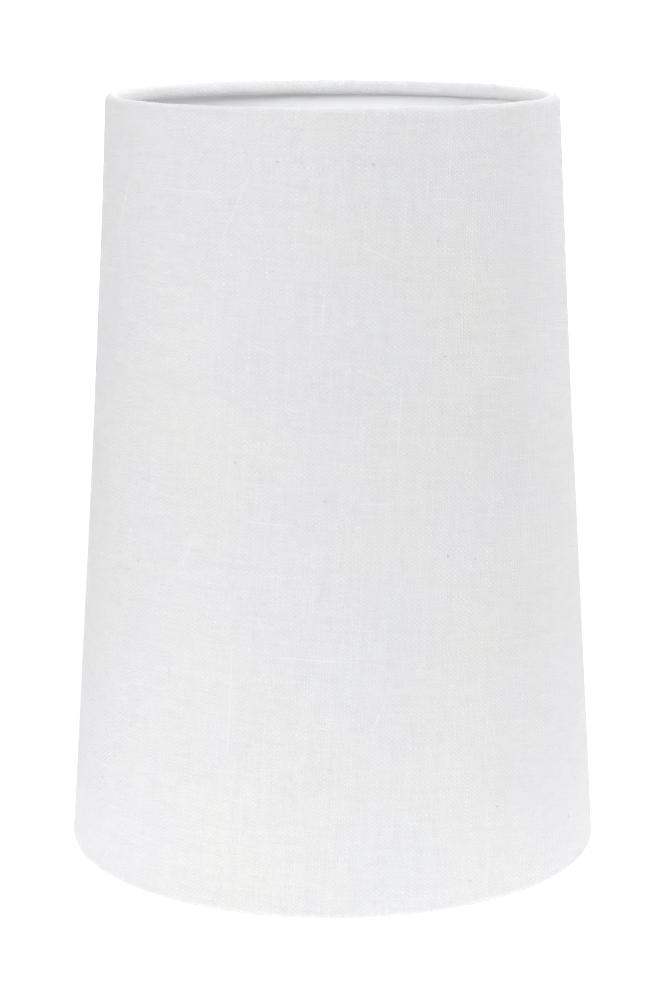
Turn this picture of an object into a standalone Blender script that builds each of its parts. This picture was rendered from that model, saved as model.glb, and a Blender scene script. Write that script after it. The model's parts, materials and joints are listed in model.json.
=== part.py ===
"""A tapered drum lamp shade, built as it is made: a linen cover on a stiff liner, rolled round a wire
ring at each end, with a tilting fitter hung from two brackets on the bottom ring.

Metres, +Z up. The origin is the centre of the circle that the shade stands on, and the front is -Y.
Azimuths are measured from the front towards +X. The panel starts at the seam and runs against them.
"""

import math

import bmesh
import bpy
from mathutils import Vector

# Driving dimensions of the shade.
HEIGHT = 0.282
BOTTOM_DIAMETER = 0.200  # outside of the linen
TOP_DIAMETER = 0.166  # outside of the linen
RING_WIRE = 0.0022  # diameter of the wire in both rings
LINEN = 0.00045  # thickness
LINER = 0.00035  # thickness
TAPE = 0.00015  # thickness
LAYER_GAP = 0.00025  # between pieces that are glued or welded together

# The vertical seam, where the panel laps over itself.
SEAM_AZIMUTH = math.radians(138)  # of the panel's inner end
SEAM_WIDTH = 0.014
SEAM_RISE = 0.012  # length over which the outer end climbs over the inner one
HEM_SLIT_KEPT = 3  # rows of the bottom hem, from the wall, that its slits leave whole
HEM_BUTT = 0.0008  # gap between the two ends of each rolled hem, and before the lap
TAPE_INSET = 0.001  # the seam tape stops this far inside the lap

# The tilting fitter, which sits on the lamp holder.
FITTER_HEIGHT = 0.040  # middle of the fitter ring above the foot
FITTER_HOLE = 0.042
FITTER_RIM = 0.007  # width of the ring round the hole
FITTER_THICKNESS = 0.0012
GIMBAL_WIRE = 0.0026
GIMBAL_BEND = 0.005  # inside bend radius of the gimbal's wire
PIVOT_HEIGHT = 0.014
TILT = math.radians(35)  # either way, where the plates' wings meet the stops

# Sheet steel pieces at the pivots.
SHEET = 0.0014  # thickness of brackets and plates
BRACKET_WIDTH = 0.009
BRACKET_FOOT = 0.001  # the bracket's lower end, below the middle of the ring's wire
WELD_LUG = 0.0004  # least thickness of the lug that holds the bracket off the ring
WELD_LUG_WIDTH = 0.006
STOP_WIDTH = 0.018
STOP_THICKNESS = 0.0012
WING_WIDTH = 0.0170
WING_BASE = 0.0005  # above the pivot
WING_TOP = 0.0090  # above the pivot
WIRE_INSET = 0.001  # between a wing's edge and the wire on it
PLATE_EYE = 0.0042  # radius of the plate's round end
RIVET_SHANK = 0.0028  # diameter
RIVET_HEAD = 0.0058  # diameter
RIVET_HEAD_HEIGHT = 0.0010
RIVET_DOME = 0.6  # share of the head that is flat on top
PIVOT_WASHER = 0.0005  # thickness
PIVOT_WASHER_DIAMETER = 0.0070
PIVOT_CLEARANCE = 0.0002  # round the shank, and between pieces on it

# The reducer, which narrows the fitter ring's hole for a small lamp holder.
REDUCER_HOLE = 0.029
REDUCER_REACH = 0.004  # how far the flange goes past the fitter's hole
REDUCER_FLANGE = 0.0016
REDUCER_LIP = 0.0015  # thickness of the lip in the fitter's hole
REDUCER_STAND = 0.0008  # the lip's height over the fitter ring
REDUCER_CLEARANCE = 0.0002

# How finely round things are cut.
ROUND_STEPS = 64
RISE_STEPS = 4
TURNED_STEPS = 40
SMALL_STEPS = 16
SECTION_STEPS = 8  # sides of a wire's section and of a rolled hem
MERGE = 1e-6
TURN = 2 * math.pi

# Distances of each layer's middle from the line through the two rings' wires.
LINER_AT = RING_WIRE / 2 + LAYER_GAP + LINER / 2
LINEN_AT = LINER_AT + LINER / 2 + LAYER_GAP + LINEN / 2
ROLL_RADIUS = LINEN_AT + LINEN / 2
SEAM_TAPE_AT = ROLL_RADIUS + LAYER_GAP + TAPE / 2
SEAM_LIFT = SEAM_TAPE_AT + TAPE / 2 + LAYER_GAP + LINER / 2 - LINER_AT

BOTTOM_RING = (BOTTOM_DIAMETER / 2 - ROLL_RADIUS, ROLL_RADIUS)  # radius and height of the wire
TOP_RING = (TOP_DIAMETER / 2 - ROLL_RADIUS, HEIGHT - ROLL_RADIUS)
WALL_LENGTH = math.dist(BOTTOM_RING, TOP_RING)
WALL_LEAN = math.atan2(BOTTOM_RING[0] - TOP_RING[0], TOP_RING[1] - BOTTOM_RING[1])
MEAN_RADIUS = (BOTTOM_DIAMETER + TOP_DIAMETER) / 4

# Where the sheet steel pieces stand, from the ring inwards, as distances from the shade's axis.
# The outer rivet heads clear the wall, which leans in over them.
FLAT = math.cos(math.pi / ROUND_STEPS)  # how near the middle of a chord is to the axis
RING_INSIDE = (BOTTOM_RING[0] - RING_WIRE / 2) * FLAT
LUG_OUTSIDE = math.sqrt(RING_INSIDE**2 - (WELD_LUG_WIDTH / 2) ** 2) - LAYER_GAP
HEAD_TOP = PIVOT_HEIGHT + RIVET_HEAD / 2 - BOTTOM_RING[1]
WALL_INSIDE = BOTTOM_RING[0] + (LINER_AT - LINER / 2) / math.cos(WALL_LEAN)
WALL_AT_HEAD = (WALL_INSIDE - HEAD_TOP * math.tan(WALL_LEAN)) * FLAT
HEAD_ROOM = RIVET_HEAD_HEIGHT + PIVOT_CLEARANCE + LAYER_GAP
BRACKET_OUTSIDE = min(LUG_OUTSIDE - WELD_LUG, WALL_AT_HEAD - HEAD_ROOM)
BRACKET_INSIDE = BRACKET_OUTSIDE - SHEET
WASHER_OUTSIDE = BRACKET_INSIDE - PIVOT_CLEARANCE
PLATE_OUTSIDE = WASHER_OUTSIDE - PIVOT_WASHER - PIVOT_CLEARANCE
PLATE_INSIDE = PLATE_OUTSIDE - SHEET
GIMBAL_END = PLATE_INSIDE - LAYER_GAP - GIMBAL_WIRE / 2
GIMBAL_END_SPREAD = WING_WIDTH / 2 - GIMBAL_WIRE / 2 - WIRE_INSET
FITTER_EDGE = FITTER_HOLE / 2 + FITTER_RIM
GIMBAL_ARC = FITTER_EDGE + LAYER_GAP + GIMBAL_WIRE / 2


def material(name, colour, roughness, metallic=0.0):
    made = bpy.data.materials.new(name)
    made.use_nodes = True
    shader = made.node_tree.nodes["Principled BSDF"]
    shader.inputs["Base Color"].default_value = (*colour, 1.0)
    shader.inputs["Roughness"].default_value = roughness
    shader.inputs["Metallic"].default_value = metallic
    return made


def put(name, data, finish, location=(0, 0, 0), rotation=(0, 0, 0)):
    """A new object of the shade, with its material."""
    made = bpy.data.objects.new(name, data)
    made.location = location
    made.rotation_euler = rotation
    data.materials.append(finish)
    bpy.data.collections["lamp_shade"].objects.link(made)
    return made


def wall_point(height_share, away):
    """A point of the wall's section, away from the line of the wires: (radius, height)."""
    radius = BOTTOM_RING[0] + (TOP_RING[0] - BOTTOM_RING[0]) * height_share
    height = BOTTOM_RING[1] + (TOP_RING[1] - BOTTOM_RING[1]) * height_share
    return radius + away * math.cos(WALL_LEAN), height + away * math.sin(WALL_LEAN)


def rolled_hem(ring, up):
    """The section of a hem round a ring's wire, from the wall to the inside, as (radius, height, share).

    The flats of the section touch a circle about the wire, so the lowest one is a level foot. The share is
    how much of the seam's lift moves the point outwards: nearly all of it at the wall, none past the foot.
    """
    half_step = math.pi / SECTION_STEPS
    reach = LINEN_AT / math.cos(half_step)
    points = []
    for step in range(SECTION_STEPS - 1):
        angle = half_step * (2 * step + 1)
        radius = ring[0] + reach * math.cos(angle)
        height = ring[1] + up * reach * math.sin(angle)
        outer_side = angle < math.pi / 2
        points.append((radius, height, math.cos(angle) if outer_side else 0.0))
    return points


def cover_section():
    """The linen's section, from the tip of the bottom hem up the wall to the tip of the top hem."""
    bottom = rolled_hem(BOTTOM_RING, -1)
    top = rolled_hem(TOP_RING, 1)
    wall = [(*wall_point(share, LINEN_AT), 1.0) for share in (0.0, 1.0)]
    return bottom[::-1] + wall + top


def straight_section(away, low, high):
    """A flat strip's section, between two distances along the wall from the bottom ring's wire."""
    return [(*wall_point(distance / WALL_LENGTH, away), 1.0) for distance in (low, high)]


def azimuths(breaks, longest):
    """Angles from the first break to the last, with each break kept and no step longer than the longest."""
    found = [breaks[0]]
    for start, end in zip(breaks, breaks[1:]):
        count = max(1, math.ceil((end - start) / longest - 1e-6))
        found += [start + (end - start) * (step + 1) / count for step in range(count)]
    return found


def seam_lift(angle):
    """How far the panel stands outwards at an angle past the seam: it climbs over its own start."""
    end = TURN - HEM_BUTT / MEAN_RADIUS
    share = (angle - end) * MEAN_RADIUS / SEAM_RISE + 1
    share = min(1.0, max(0.0, share))
    return SEAM_LIFT * share * share * (3 - 2 * share)


def bent_sheet(name, angles, section, thickness, finish, dropped=lambda angle, row: False):
    """A flat grid bent round the shade.

    It has a column for each angle past the seam, and a row for each point of the section.
    """
    columns, rows = len(angles) - 1, len(section) - 1
    mesh = bpy.data.meshes.new(name)
    grid = bmesh.new()
    bmesh.ops.create_grid(grid, x_segments=columns, y_segments=rows, size=1)
    middles = {}
    for face in grid.faces:
        centre = face.calc_center_median()
        middles[face] = (int((centre.x + 1) / 2 * columns), int((centre.y + 1) / 2 * rows))
    for vertex in grid.verts:
        column = round((vertex.co.x + 1) / 2 * columns)
        row = round((vertex.co.y + 1) / 2 * rows)
        radius, height, share = section[row]
        radius += seam_lift(angles[column]) * share
        azimuth = SEAM_AZIMUTH - angles[column]
        vertex.co = (radius * math.sin(azimuth), -radius * math.cos(azimuth), height)
    unwanted = [
        face
        for face, (column, row) in middles.items()
        if dropped((angles[column] + angles[column + 1]) / 2, row)
    ]
    bmesh.ops.delete(grid, geom=unwanted, context="FACES")
    grid.to_mesh(mesh)
    grid.free()
    made = put(name, mesh, finish)
    solidify = made.modifiers.new("thickness", "SOLIDIFY")
    solidify.thickness = thickness
    solidify.offset = 0
    solidify.use_even_offset = True
    return made


def turned(name, profile, finish, steps, closed, **place):
    """A profile of (radius, height) points turned about Z. It runs down its outer side."""
    mesh = bpy.data.meshes.new(name)
    edges = [(start, start + 1) for start in range(len(profile) - 1)]
    if closed:
        edges.append((len(profile) - 1, 0))
    mesh.from_pydata([(radius, 0, height) for radius, height in profile], edges, [])
    made = put(name, mesh, finish, **place)
    screw = made.modifiers.new("turn", "SCREW")
    screw.steps = screw.render_steps = steps
    screw.use_merge_vertices = True
    screw.merge_threshold = MERGE
    return made


def flat_ring(outer, inner, low, high):
    """The closed profile of a washer."""
    return [(outer, high), (outer, low), (inner, low), (inner, high)]


def wire(name, points, diameter, finish):
    """A round wire along the points, with closed ends."""
    curve = bpy.data.curves.new(name, "CURVE")
    curve.dimensions = "3D"
    curve.bevel_depth = diameter / 2
    curve.bevel_resolution = 2
    curve.use_fill_caps = True
    spline = curve.splines.new("POLY")
    spline.points.add(len(points) - 1)
    for point, place in zip(spline.points, points):
        point.co = (*place, 1)
    return put(name, curve, finish)


def flat_plate(name, outlines, thickness, finish, location):
    """A plate facing along X, from closed outlines of (Y, Z) points.

    The first outline is the rim and the others are holes.
    """
    curve = bpy.data.curves.new(name, "CURVE")
    curve.dimensions = "2D"
    curve.fill_mode = "BOTH"
    curve.extrude = thickness / 2
    for outline in outlines:
        spline = curve.splines.new("POLY")
        spline.use_cyclic_u = True
        spline.points.add(len(outline) - 1)
        for point, (across, up) in zip(spline.points, outline):
            point.co = (across, up, 0, 1)
    rotation = (math.radians(90), 0, math.radians(90))
    return put(name, curve, finish, location, rotation)


def as_mesh(curve_object):
    """The same object as a mesh with its caps welded, which a Boolean can use."""
    bpy.context.view_layer.update()
    graph = bpy.context.evaluated_depsgraph_get()
    mesh = bpy.data.meshes.new_from_object(curve_object.evaluated_get(graph))
    shape = bmesh.new()
    shape.from_mesh(mesh)
    bmesh.ops.remove_doubles(shape, verts=shape.verts, dist=MERGE)
    shape.to_mesh(mesh)
    shape.free()
    name, matrix = curve_object.name, curve_object.matrix_world.copy()
    bpy.data.objects.remove(curve_object)
    made = bpy.data.objects.new(name, mesh)
    made.matrix_world = matrix
    bpy.data.collections["lamp_shade"].objects.link(made)
    return made


def arc(radius, start=0.0, end=TURN, steps=SMALL_STEPS):
    """Points of an arc about the origin. A full circle leaves out its last point."""
    count = steps if abs(end - start) >= TURN - MERGE else steps + 1
    angles = [start + (end - start) * step / steps for step in range(count)]
    return [(radius * math.cos(angle), radius * math.sin(angle)) for angle in angles]


def rivet_hole():
    """The hole for the rivet's shank, whose flats clear it as the plate turns."""
    return arc((RIVET_SHANK / 2 + PIVOT_CLEARANCE) / math.cos(math.pi / SMALL_STEPS))


def rounded(corners, radius, steps=4):
    """Straight runs between the corners, with each corner bent to the radius."""
    points = [corners[0]]
    for before, corner, after in zip(corners, corners[1:], corners[2:]):
        into = (corner - before).normalized()
        out = (after - corner).normalized()
        turn = into.angle(out)
        centre = corner + (out - into).normalized() * radius / math.cos(turn / 2)
        start = corner - into * radius * math.tan(turn / 2) - centre
        toward = into * radius
        for step in range(steps + 1):
            angle = turn * step / steps
            points.append(centre + start * math.cos(angle) + toward * math.sin(angle))
    return points + [corners[-1]]


def linen_cover(finish):
    """The woven panel: it runs round the wall, rolls over both rings, and laps over itself at the seam.

    Its first end has no hems under the lap, so that only one layer goes round each ring. The bottom hem is
    cut away where each bracket comes through to the ring.
    """
    lap = SEAM_WIDTH / MEAN_RADIUS
    hem_start = lap + HEM_BUTT / MEAN_RADIUS
    slit = (BRACKET_WIDTH / 2 + LAYER_GAP * 2) / BRACKET_INSIDE
    slits = [(SEAM_AZIMUTH - side * math.pi / 2) % TURN for side in (-1, 1)]
    edges = sorted(middle + side * slit for middle in slits for side in (-1, 1))
    rise_end = TURN - HEM_BUTT / MEAN_RADIUS
    rise_start = rise_end - SEAM_RISE / MEAN_RADIUS
    long_way = azimuths([0.0, lap, hem_start, *edges, rise_start], TURN / ROUND_STEPS)
    rise = azimuths([rise_start, rise_end], (rise_end - rise_start) / RISE_STEPS)
    lapped = azimuths([rise_end, TURN, TURN + lap], TURN / ROUND_STEPS)
    section = cover_section()
    hem_rows = SECTION_STEPS - 1

    def dropped(angle, row):
        in_hem = not hem_rows <= row < len(section) - 1 - hem_rows
        in_slit = any(abs(angle - middle) < slit for middle in slits)
        return (in_hem and angle < hem_start) or (in_slit and row < hem_rows - HEM_SLIT_KEPT)

    angles = long_way + rise[1:] + lapped[1:]
    return bent_sheet("linen_cover", angles, section, LINEN, finish, dropped)


def liner_panel(finish):
    """The stiff sheet behind the linen. Its outer end stops just short of the linen's."""
    lap = (SEAM_WIDTH - TAPE_INSET) / MEAN_RADIUS
    rise_end = TURN - HEM_BUTT / MEAN_RADIUS
    rise_start = rise_end - SEAM_RISE / MEAN_RADIUS
    angles = azimuths([0.0, rise_start], TURN / ROUND_STEPS)
    angles += azimuths([rise_start, rise_end], (rise_end - rise_start) / RISE_STEPS)[1:]
    angles += azimuths([rise_end, TURN, TURN + lap], TURN / ROUND_STEPS)[1:]
    return bent_sheet("liner_panel", angles, straight_section(LINER_AT, 0, WALL_LENGTH), LINER, finish)


def seam_tape(finish):
    """The strip that holds the lap, between the linen of one end and the liner of the other."""
    inset = TAPE_INSET / MEAN_RADIUS
    lap = SEAM_WIDTH / MEAN_RADIUS
    angles = azimuths([inset, lap - 2 * inset], TURN / ROUND_STEPS)
    section = straight_section(SEAM_TAPE_AT, ROLL_RADIUS, WALL_LENGTH - ROLL_RADIUS)
    return bent_sheet("seam_tape", angles, section, TAPE, finish)


def ring(name, place, finish):
    bpy.ops.mesh.primitive_torus_add(
        major_radius=place[0],
        minor_radius=RING_WIRE / 2,
        major_segments=ROUND_STEPS,
        minor_segments=SECTION_STEPS,
    )
    torus = bpy.context.active_object
    mesh = torus.data
    bpy.data.objects.remove(torus)
    mesh.name = name
    return put(name, mesh, finish, (0, 0, place[1]))


def joined_block(plate, side, name, inside, outside, width, low, high):
    """Joins a block to a plate, between two distances from the shade's axis and two heights."""
    bpy.ops.mesh.primitive_cube_add(size=1)
    block = bpy.context.active_object
    block.name = f"{plate.name}_{name}"
    block.dimensions = (outside - inside, width, high - low)
    block.location = (side * (inside + outside) / 2, 0, (low + high) / 2)
    for collection in block.users_collection:
        collection.objects.unlink(block)
    bpy.data.collections["cutters"].objects.link(block)
    block.hide_render = True
    block.display_type = "WIRE"
    join = plate.modifiers.new(name, "BOOLEAN")
    join.operation = "UNION"
    join.object = block


def pivot_bracket(name, side, finish):
    """A plate with the rivet's hole, a lug welded to the ring, and a shelf that stops the wings."""
    half = BRACKET_WIDTH / 2
    foot = BOTTOM_RING[1] - BRACKET_FOOT
    outline = [(half, foot - PIVOT_HEIGHT), *arc(half, 0, math.pi), (-half, foot - PIVOT_HEIGHT)]
    middle = (BRACKET_OUTSIDE + BRACKET_INSIDE) / 2
    place = (side * middle, 0, PIVOT_HEIGHT)
    plate = as_mesh(flat_plate(name, [outline, rivet_hole()], SHEET, finish, place))

    lug_low = foot + LAYER_GAP
    lug_high = BOTTOM_RING[1] + RING_WIRE / 2
    joined_block(plate, side, "lug", middle, LUG_OUTSIDE, WELD_LUG_WIDTH, lug_low, lug_high)

    wing_corner = math.cos(TILT) * WING_BASE - math.sin(TILT) * WING_WIDTH / 2
    shelf_high = PIVOT_HEIGHT + wing_corner - PIVOT_CLEARANCE
    shelf_low = shelf_high - STOP_THICKNESS
    shelf_outside = BRACKET_OUTSIDE - LAYER_GAP
    joined_block(plate, side, "shelf", PLATE_INSIDE, shelf_outside, STOP_WIDTH, shelf_low, shelf_high)
    return plate


def pivot_rivet(name, side, finish):
    """A rivet through the bracket, the washer and the gimbal's plate. Its axis is the tilt axis."""
    shank, head = RIVET_SHANK / 2, RIVET_HEAD / 2
    outer_face = BRACKET_OUTSIDE + PIVOT_CLEARANCE
    inner_face = PLATE_INSIDE - PIVOT_CLEARANCE
    rim = RIVET_HEAD_HEIGHT / 2
    dome = head * RIVET_DOME
    profile = [
        (0, outer_face + RIVET_HEAD_HEIGHT),
        (dome, outer_face + RIVET_HEAD_HEIGHT),
        (head, outer_face + rim),
        (head, outer_face),
        (shank, outer_face),
        (shank, inner_face),
        (head, inner_face),
        (head, inner_face - rim),
        (dome, inner_face - RIVET_HEAD_HEIGHT),
        (0, inner_face - RIVET_HEAD_HEIGHT),
    ]
    place = {"location": (0, 0, PIVOT_HEIGHT), "rotation": (0, side * math.pi / 2, 0)}
    return turned(name, profile, finish, SMALL_STEPS, False, **place)


def pivot_washer(name, side, finish):
    """The friction washer between the bracket and the gimbal's plate."""
    hole = RIVET_SHANK / 2 + PIVOT_CLEARANCE
    profile = flat_ring(PIVOT_WASHER_DIAMETER / 2, hole, WASHER_OUTSIDE - PIVOT_WASHER, WASHER_OUTSIDE)
    place = {"location": (0, 0, PIVOT_HEIGHT), "rotation": (0, side * math.pi / 2, 0)}
    return turned(name, profile, finish, SMALL_STEPS, True, **place)


def gimbal_plate(name, side, finish):
    """The gimbal's end plate: a round eye about the rivet, and wings that carry the two wires."""
    wing = WING_WIDTH / 2
    edge = math.asin(WING_BASE / PLATE_EYE)
    eye = arc(PLATE_EYE, math.pi - edge, TURN + edge)
    outline = [*eye, (wing, WING_BASE), (wing, WING_TOP), (-wing, WING_TOP), (-wing, WING_BASE)]
    middle = (PLATE_OUTSIDE + PLATE_INSIDE) / 2
    return flat_plate(name, [outline, rivet_hole()], SHEET, finish, (side * middle, 0, PIVOT_HEIGHT))


def gimbal_wire(name, front, finish):
    """One wire of the gimbal: up one plate, over to the fitter ring, round its edge, and down the other."""
    away = math.hypot(GIMBAL_END, GIMBAL_END_SPREAD)
    wrap = math.pi / 2 - (math.acos(GIMBAL_ARC / away) - math.atan2(GIMBAL_END_SPREAD, GIMBAL_END))
    low = PIVOT_HEIGHT + WING_BASE + GIMBAL_WIRE / 2
    high = PIVOT_HEIGHT + WING_TOP - GIMBAL_WIRE / 2
    end = Vector((-GIMBAL_END, front * GIMBAL_END_SPREAD, low))
    bend = Vector((-GIMBAL_END, front * GIMBAL_END_SPREAD, high))
    hugging = [
        Vector((GIMBAL_ARC * math.sin(angle), front * GIMBAL_ARC * math.cos(angle), FITTER_HEIGHT))
        for angle in (-wrap + 2 * wrap * step / 4 for step in range(5))
    ]
    mirrored = [Vector((-point.x, point.y, point.z)) for point in (bend, end)]
    points = rounded([end, bend, *hugging, *mirrored], GIMBAL_BEND + GIMBAL_WIRE / 2, 3)
    return wire(name, points, GIMBAL_WIRE, finish)


def fitter_ring(finish):
    """The ring that the lamp holder's collar clamps."""
    half = FITTER_THICKNESS / 2
    profile = flat_ring(FITTER_EDGE, FITTER_HOLE / 2, -half, half)
    return turned("fitter_ring", profile, finish, TURNED_STEPS, True, location=(0, 0, FITTER_HEIGHT))


def reducer_ring(finish):
    """A flange under the fitter ring, with a lip that stands up through its hole."""
    under = -FITTER_THICKNESS / 2 - REDUCER_CLEARANCE
    top = FITTER_THICKNESS / 2 + REDUCER_STAND
    lip = (FITTER_HOLE / 2 - REDUCER_CLEARANCE) * math.cos(math.pi / TURNED_STEPS)
    edge = FITTER_HOLE / 2 + REDUCER_REACH
    profile = [
        (lip, top),
        (lip, under),
        (edge, under),
        (edge, under - REDUCER_FLANGE),
        (REDUCER_HOLE / 2, under - REDUCER_FLANGE),
        (REDUCER_HOLE / 2, under),
        (lip - REDUCER_LIP, under),
        (lip - REDUCER_LIP, top),
    ]
    return turned("reducer_ring", profile, finish, TURNED_STEPS, True, location=(0, 0, FITTER_HEIGHT))


def main():
    for old in list(bpy.data.objects):
        bpy.data.objects.remove(old)
    for name in ("lamp_shade", "cutters"):
        bpy.context.scene.collection.children.link(bpy.data.collections.new(name))

    linen = material("linen", (0.86, 0.86, 0.85), 0.9)
    liner = material("liner", (0.90, 0.90, 0.91), 0.45)
    tape = material("tape", (0.78, 0.74, 0.62), 0.5)
    coated_steel = material("coated_steel", (0.85, 0.85, 0.84), 0.35, 0.1)
    rivet_steel = material("rivet_steel", (0.62, 0.62, 0.63), 0.3, 1.0)
    fibre = material("fibre", (0.35, 0.28, 0.22), 0.8)
    plastic = material("plastic", (0.88, 0.88, 0.87), 0.4)

    linen_cover(linen)
    liner_panel(liner)
    seam_tape(tape)
    ring("bottom_ring", BOTTOM_RING, coated_steel)
    ring("top_ring", TOP_RING, coated_steel)
    for side, word in ((-1, "left"), (1, "right")):
        pivot_bracket(f"pivot_bracket_{word}", side, coated_steel)
        pivot_rivet(f"pivot_rivet_{word}", side, rivet_steel)
        pivot_washer(f"pivot_washer_{word}", side, fibre)
        gimbal_plate(f"gimbal_plate_{word}", side, coated_steel)
    for front, word in ((-1, "front"), (1, "back")):
        gimbal_wire(f"gimbal_wire_{word}", front, coated_steel)
    fitter_ring(coated_steel)
    reducer_ring(plastic)


main()
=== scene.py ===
"""A tapered linen lamp shade: its cloth, liner and fitter, on the frame that carries them.

Metres, +Z up. The front is -Y, and azimuths run from the front towards +X. The cloth panel starts at the
seam, at the back right, and runs against the azimuths, all the way round and on over its own start.
"""

import json
import math

import bpy
import numpy as np
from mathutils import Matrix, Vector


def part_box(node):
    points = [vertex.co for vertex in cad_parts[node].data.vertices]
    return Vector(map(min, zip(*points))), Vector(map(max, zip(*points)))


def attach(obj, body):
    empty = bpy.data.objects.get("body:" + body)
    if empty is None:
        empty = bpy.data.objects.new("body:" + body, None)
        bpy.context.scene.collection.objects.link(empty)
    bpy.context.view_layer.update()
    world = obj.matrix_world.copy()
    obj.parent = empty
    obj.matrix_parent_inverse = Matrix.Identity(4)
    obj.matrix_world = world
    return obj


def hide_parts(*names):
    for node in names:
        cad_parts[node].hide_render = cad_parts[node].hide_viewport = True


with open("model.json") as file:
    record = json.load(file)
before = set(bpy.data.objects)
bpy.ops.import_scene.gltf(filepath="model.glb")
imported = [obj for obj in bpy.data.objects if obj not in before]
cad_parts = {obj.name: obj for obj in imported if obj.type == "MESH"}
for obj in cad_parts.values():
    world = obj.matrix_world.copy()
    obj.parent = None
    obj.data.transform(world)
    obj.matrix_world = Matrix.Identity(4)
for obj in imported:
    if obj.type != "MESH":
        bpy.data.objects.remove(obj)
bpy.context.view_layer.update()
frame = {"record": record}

MM = 0.001
TURN = 2 * math.pi
UP = np.array([0.0, 0.0, 1.0])


def ring_of(node):
    """The radius and height of a ring's wire, and the wire's radius."""
    low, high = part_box(node)
    wire = (high[2] - low[2]) / 2
    return high[0] - wire, (low[2] + high[2]) / 2, wire


# The shade's outline, from the frame.
BOTTOM_RADIUS, BOTTOM_HEIGHT, RING_WIRE = ring_of("bottom_ring")
TOP_RADIUS, TOP_HEIGHT, _ = ring_of("top_ring")
ROLL = BOTTOM_HEIGHT  # radius of the rolled hems
LEAN = math.atan2(BOTTOM_RADIUS - TOP_RADIUS, TOP_HEIGHT - BOTTOM_HEIGHT)
WALL = math.hypot(BOTTOM_RADIUS - TOP_RADIUS, TOP_HEIGHT - BOTTOM_HEIGHT)
PIVOT = frame["record"]["behaviour"]["joints"][0]["pos_m"]

# The cloth and its liner.
CLOTH = 0.45 * MM  # thickness
LINER = 0.35 * MM  # thickness
TUCK = 0.05 * MM  # how far the wall lies behind the rolled hems
TUCK_LENGTH = 4 * MM
WAIST = 0.65 * MM  # how far the wall bows in at half its height
WAIST_LEAN = 0.25 * MM  # how much more it does on the left, and less on the right
DENTS_FADE = 20 * MM
PUCKER_FADE = 6 * MM
CREASE = math.radians(44)  # azimuth where the crease leaves the top hem
SEAM = math.radians(138)  # azimuth where the panel's inner end starts
LAP = 14 * MM / 0.0915
RISE = 12 * MM / 0.0915  # angle over which the outer end climbs over the inner one
LIFT = 0.95 * MM
HEM_LIFT = 0.25  # share of the lift that the hems take
HEM_SINK = 0.5 * MM  # how much nearer the ring the inner end lies in the hems
FOLD = 1.25 * MM  # thickness of the outer end, where the cloth is folded round the liner's edge
HEM_TIP = math.radians(290)  # how far the cloth goes round each ring
HEM_SAG = 0.8 * MM  # how much further the tucked edge hangs from the ring than the roll does
SLIT = 5.0 * MM  # half the width of the bottom hem's cut at each bracket
SLIT_TIP = math.radians(118)  # how far the cloth goes round the ring there
GRAIN = math.radians(-50)  # azimuth where the warp runs straight up the wall

# The weave.
WARP_PITCH = 1.04 * MM
WEFT_PITCH = 0.72 * MM

CONE = math.sin(LEAN)  # the flat fan's angle for each radian of the shade
FAN_BOTTOM = (BOTTOM_RADIUS + ROLL) / CONE  # the wall's lower end, from the fan's point


def smooth(value):
    """0 below 0, 1 above 1, and 3v^2 - 2v^3 between."""
    value = np.clip(value, 0, 1)
    return value * value * (3 - 2 * value)


def waves(seed, count, around, across, turns, lengths):
    """A sum of sines with seeded turns round the shade, lengths along it and phases, scaled to about 1."""
    chance = np.random.default_rng(seed)
    total = np.zeros(np.broadcast(around, across).shape)
    for _ in range(count):
        whole_turns = chance.integers(turns[0], turns[1] + 1)
        length = chance.uniform(*lengths)
        first, second = chance.uniform(0, TURN, 2)
        total = total + np.sin(whole_turns * around + first) * np.sin(TURN * across / length + second)
    return total / math.sqrt(count)


# ---------------------------------------------------------------- meshes


def signed_volume(points, faces):
    """Six times the volume inside the faces: positive when they point outwards."""
    total = 0.0
    for corner in range(1, faces.shape[1] - 1):
        first, second, third = (points[faces[:, index]] for index in (0, corner, corner + 1))
        total += np.einsum("ij,ij->", first, np.cross(second, third))
    return total


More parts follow.
